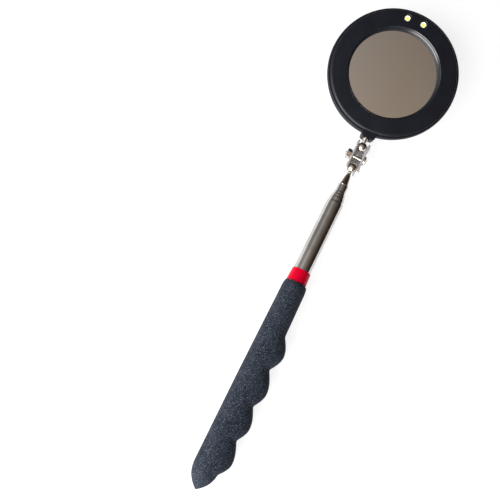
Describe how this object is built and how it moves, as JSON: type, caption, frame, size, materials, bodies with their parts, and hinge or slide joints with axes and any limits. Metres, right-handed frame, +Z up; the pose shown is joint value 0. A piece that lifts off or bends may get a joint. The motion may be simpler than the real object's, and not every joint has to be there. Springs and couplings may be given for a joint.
{
  "type": "telescoping inspection mirror",
  "caption": "Round lit mirror head on a double ball knuckle at the end of a five-stage telescopic chrome shaft with a rubber finger grip.",
  "frame": {"origin": "centre of the footprint, on the surface that the tool lies on (grip and the head's near edge touch it)", "axes": "+Y along the shaft from the grip to the head, +Z up, the way the mirror looks, +X to the finger bumps' side"},
  "size_m": [0.0748, 0.2834, 0.0245],
  "materials": {
    "grip": "matte dark blue-grey rubber with a fine leathery grain",
    "collar": "glossy red",
    "tube": "bright chrome plate",
    "bush": "bare phosphor bronze strip",
    "knuckle_sheet": "nickel-plated pressed sheet, satin",
    "bright_parts": "polished nickel",
    "shell": "satin blue-black moulded plastic",
    "glass_mirror": "silvered glass",
    "lamp": "clear yellowish lamp lens",
    "board": "green circuit board",
    "pad": "white foam",
    "inner_plastic": "dark grey moulded plastic",
    "small_steel": "plated steel"
  },
  "bodies": {
    "handle": {"grip": "grip", "red_collar": "collar", "tube_1": "tube", "end_plug": "inner_plastic"},
    "stage_2": {"tube_2": "tube", "bush_2": "bush"},
    "stage_3": {"tube_3": "tube", "bush_3": "bush"},
    "stage_4": {"tube_4": "tube", "bush_4": "bush"},
    "stage_5": {"tube_5": "tube", "bush_5": "bush"},
    "tip": {"tip_cone": "tube"},
    "lower_joint": {"lower_ball": "bright_parts"},
    "clip": {"clip": "knuckle_sheet", "clamp_screw": "bright_parts", "clamp_nut": "bright_parts"},
    "upper_joint": {"upper_ball": "bright_parts"},
    "stud": {"upper_stud": "bright_parts"},
    "head": {"bezel": "shell", "mirror": "glass_mirror", "mirror_pad": "pad", "led_1": "lamp", "led_2": "lamp", "circuit_board": "board", "switch_body": "small_steel", "battery_tray": "inner_plastic", "coin_cell_1": "small_steel", "coin_cell_2": "small_steel", "cell_contact_1": "bush", "cell_contact_2": "bush", "cell_link": "bush", "back_cover": "shell", "battery_door": "shell", "battery_door_screw": "small_steel", "cover_screw_1": "small_steel", "cover_screw_2": "small_steel", "cover_screw_3": "small_steel", "cover_screw_4": "small_steel"},
    "switch": {"switch_knob": "inner_plastic"}
  },
  "joints": [
    {"name": "stage_2_slide", "type": "slide", "parent": "handle", "child": "stage_2", "axis": [0, 1, 0], "range_m": [0, 0.14875]},
    {"name": "stage_3_slide", "type": "slide", "parent": "stage_2", "child": "stage_3", "axis": [0, 1, 0], "range_m": [0, 0.14875]},
    {"name": "stage_4_slide", "type": "slide", "parent": "stage_3", "child": "stage_4", "axis": [0, 1, 0], "range_m": [0, 0.14875]},
    {"name": "stage_5_slide", "type": "slide", "parent": "stage_4", "child": "stage_5", "axis": [0, 1, 0], "range_m": [0, 0.14875]},
    {"name": "tip_spin", "type": "hinge", "parent": "stage_5", "child": "tip", "pos_m": [0.0034, 0.02835, 0.0069], "axis": [0, 1, 0], "continuous": true},
    {"name": "lower_lean", "type": "hinge", "parent": "tip", "child": "lower_joint", "pos_m": [0.0034, 0.0467, 0.0069], "axis": [0, 0, 1], "range_deg": [-10, 10]},
    {"name": "lower_tilt", "type": "hinge", "parent": "lower_joint", "child": "clip", "pos_m": [0.0034, 0.0467, 0.0069], "axis": [1, 0, 0], "range_deg": [-60, 90]},
    {"name": "upper_tilt", "type": "hinge", "parent": "clip", "child": "upper_joint", "pos_m": [0.0034, 0.06045, 0.0069], "axis": [-1, 0, 0], "range_deg": [-90, 60]},
    {"name": "upper_lean", "type": "hinge", "parent": "upper_joint", "child": "stud", "pos_m": [0.0034, 0.06045, 0.0069], "axis": [0, -0.1874, 0.9823], "range_deg": [-12, 6]},
    {"name": "head_spin", "type": "hinge", "parent": "stud", "child": "head", "pos_m": [0.0034, 0.06045, 0.0069], "axis": [-0.075, 0.9795, 0.1869], "continuous": true},
    {"name": "switch_slide", "type": "slide", "parent": "head", "child": "switch", "axis": [0.9972, 0.0737, 0.014], "range_m": [0, 0.0025]}
  ]
}
